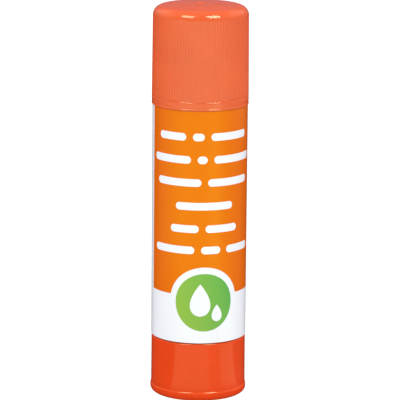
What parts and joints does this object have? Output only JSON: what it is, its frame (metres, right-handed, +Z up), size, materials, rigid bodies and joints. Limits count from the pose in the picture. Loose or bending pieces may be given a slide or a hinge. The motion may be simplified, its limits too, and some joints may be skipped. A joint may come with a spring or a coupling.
{
  "type": "glue stick",
  "caption": "Twist-up glue stick: ribbed push-on cap, labelled barrel, and a knob whose screw raises the glue.",
  "frame": {"origin": "centre of the foot that the stick stands on", "axes": "+Z up along the stick towards the cap, -Y towards the front of the label, +X to the right of it"},
  "size_m": [0.0214, 0.0214, 0.088],
  "materials": {
    "knob_plastic": "satin moulded polypropylene",
    "screw_plastic": "natural white moulded plastic",
    "barrel_plastic": "white moulded polypropylene",
    "label_film": "gloss printed film",
    "carrier_plastic": "white moulded plastic",
    "glue": "waxy off-white adhesive",
    "cap_plastic": "satin moulded polypropylene with fine ribs"
  },
  "bodies": {
    "barrel": {"barrel": "barrel_plastic", "label": "label_film"},
    "knob": {"twist_knob": "knob_plastic", "lead_screw": "screw_plastic"},
    "carrier": {"glue_carrier": "carrier_plastic", "glue_stick": "glue"},
    "cap": {"cap": "cap_plastic"}
  },
  "joints": [
    {"name": "knob_twist", "type": "hinge", "parent": "barrel", "child": "knob", "pos_m": [0, 0, 0], "axis": [0, 0, 1], "range_deg": [0, 3240]},
    {"name": "glue_feed", "type": "slide", "parent": "barrel", "child": "carrier", "axis": [0, 0, 1], "range_m": [0, 0.045]},
    {"name": "cap_pull", "type": "slide", "parent": "carrier", "child": "cap", "axis": [0, 0, 1], "range_m": [0, 0.03]}
  ],
  "couplings": [
    {"joint": "glue_feed", "follows": "knob_twist", "m_per_rad": 0.00079577}
  ]
}
